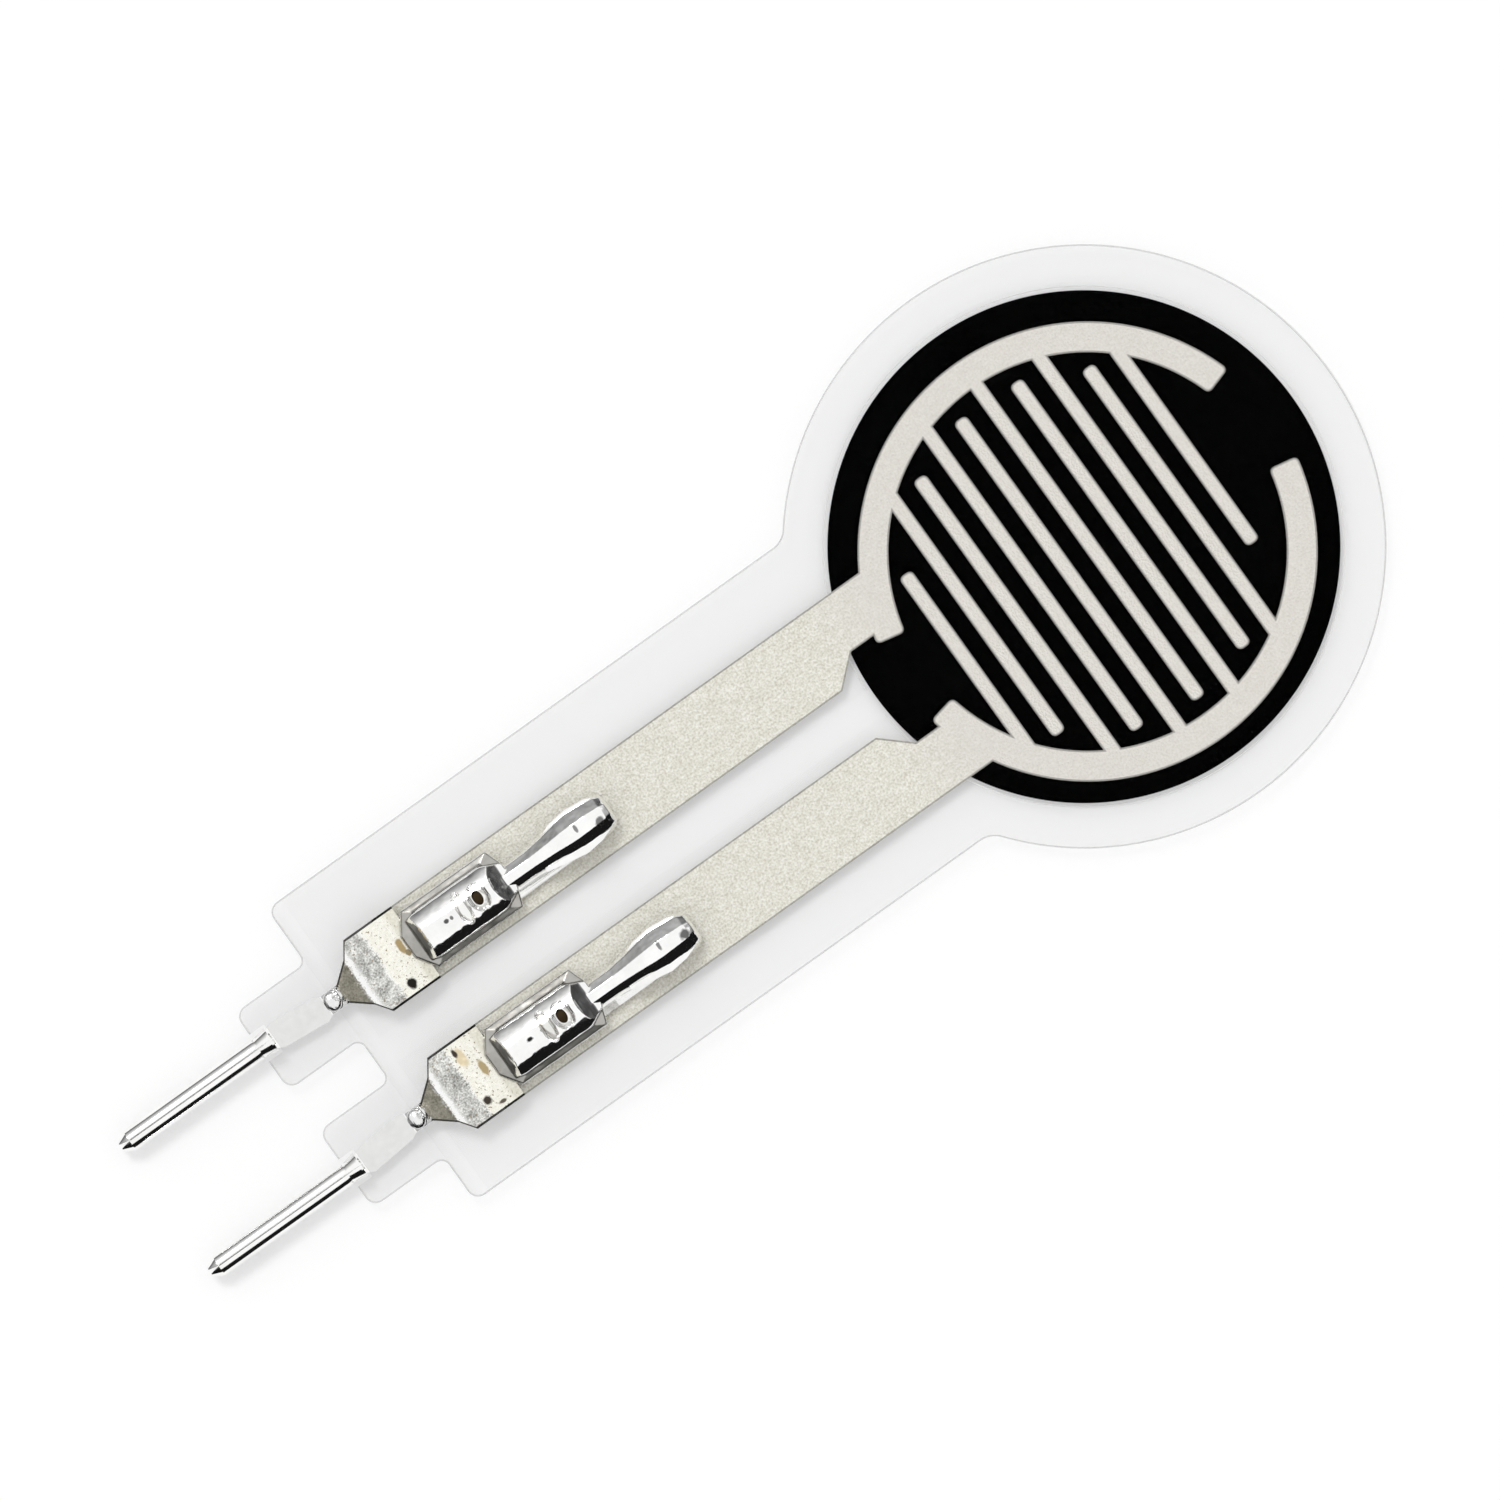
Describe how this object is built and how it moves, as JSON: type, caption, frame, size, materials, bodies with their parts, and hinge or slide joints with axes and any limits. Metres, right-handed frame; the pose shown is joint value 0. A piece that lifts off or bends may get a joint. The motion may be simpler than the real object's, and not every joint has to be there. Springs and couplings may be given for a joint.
{
  "type": "force sensing resistor",
  "caption": "Thin round film sensor with interdigitated silver fingers over a black disc, a flat tail with silver traces, and crimped pin terminals.",
  "frame": {"origin": "middle of the round sensing end, on the rear face", "axes": "+X along the tail from the pins to the round end, +Y to the left seen from the pins, +Z out of the sensing face"},
  "size_m": [0.0238, 0.01, 0.0009],
  "materials": {
    "clear_film": "clear satin polyester",
    "adhesive": "clear hazy adhesive",
    "black_ink": "matte black carbon ink",
    "silver_ink": "fine grained silver ink",
    "tinned_metal": "bright tin plate",
    "solder": "bright solder with flux stains"
  },
  "bodies": {
    "root": {"front_film": "clear_film", "rear_film": "clear_film", "spacer_adhesive": "adhesive", "resistive_disc": "black_ink", "left_comb": "silver_ink", "right_comb": "silver_ink", "left_terminal": "tinned_metal", "right_terminal": "tinned_metal", "left_solder": "solder", "right_solder": "solder"}
  },
  "joints": []
}
